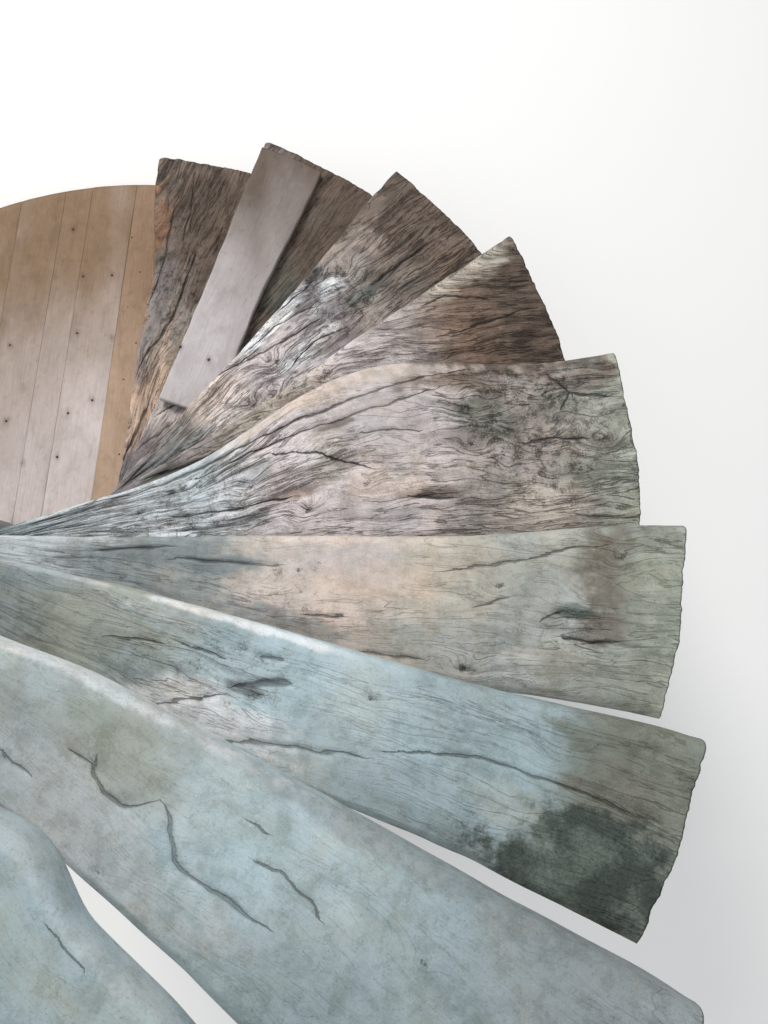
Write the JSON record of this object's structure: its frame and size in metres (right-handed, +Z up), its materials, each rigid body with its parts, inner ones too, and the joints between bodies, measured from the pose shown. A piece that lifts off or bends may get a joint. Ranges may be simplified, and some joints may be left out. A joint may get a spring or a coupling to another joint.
{
  "type": "winding stair",
  "caption": "Winding stair of thick, foot-worn timber treads stacked on their own newel drums, climbing clockwise beside a round wall from a boarded landing.",
  "frame": {"origin": "centre of the newel's foot on the ground", "axes": "+Z up along the newel, +Y from the newel along the landing boards, +X to the right of that seen from above, over the sixth tread"},
  "size_m": [2.8155, 2.8148, 2.96],
  "materials": {
    "grey_timber": "foot-worn, silvery grey",
    "worn_timber": "foot-worn, pinkish grey-brown",
    "brown_timber": "rough, dusty brown-grey",
    "plank_timber": "planed, pale grey",
    "board_timber": "planed, pale pinkish",
    "strip_timber": "old, ochre brown",
    "bearer_timber": "sawn, brown"
  },
  "bodies": {
    "root": {"newel_foot": "brown_timber", "tread_01": "brown_timber", "tread_02": "brown_timber", "tread_03": "brown_timber", "tread_04": "brown_timber", "tread_05": "worn_timber", "tread_06": "worn_timber", "tread_07": "grey_timber", "tread_08": "grey_timber", "tread_09": "grey_timber", "tread_10": "grey_timber", "tread_11": "grey_timber", "tread_12": "grey_timber", "tread_13": "grey_timber", "tread_14": "grey_timber", "tread_15": "grey_timber", "tread_plank_02": "plank_timber", "landing_strip": "strip_timber", "landing_board_1": "board_timber", "landing_board_2": "board_timber", "landing_board_3": "board_timber", "landing_board_4": "board_timber", "landing_board_5": "board_timber", "landing_board_6": "board_timber", "landing_board_7": "board_timber", "landing_board_8": "board_timber", "landing_board_9": "board_timber", "landing_bearer_1": "bearer_timber", "landing_bearer_2": "bearer_timber", "landing_bearer_3": "bearer_timber", "landing_bearer_4": "bearer_timber", "landing_bearer_5": "bearer_timber", "landing_bearer_6": "bearer_timber"}
  },
  "joints": []
}
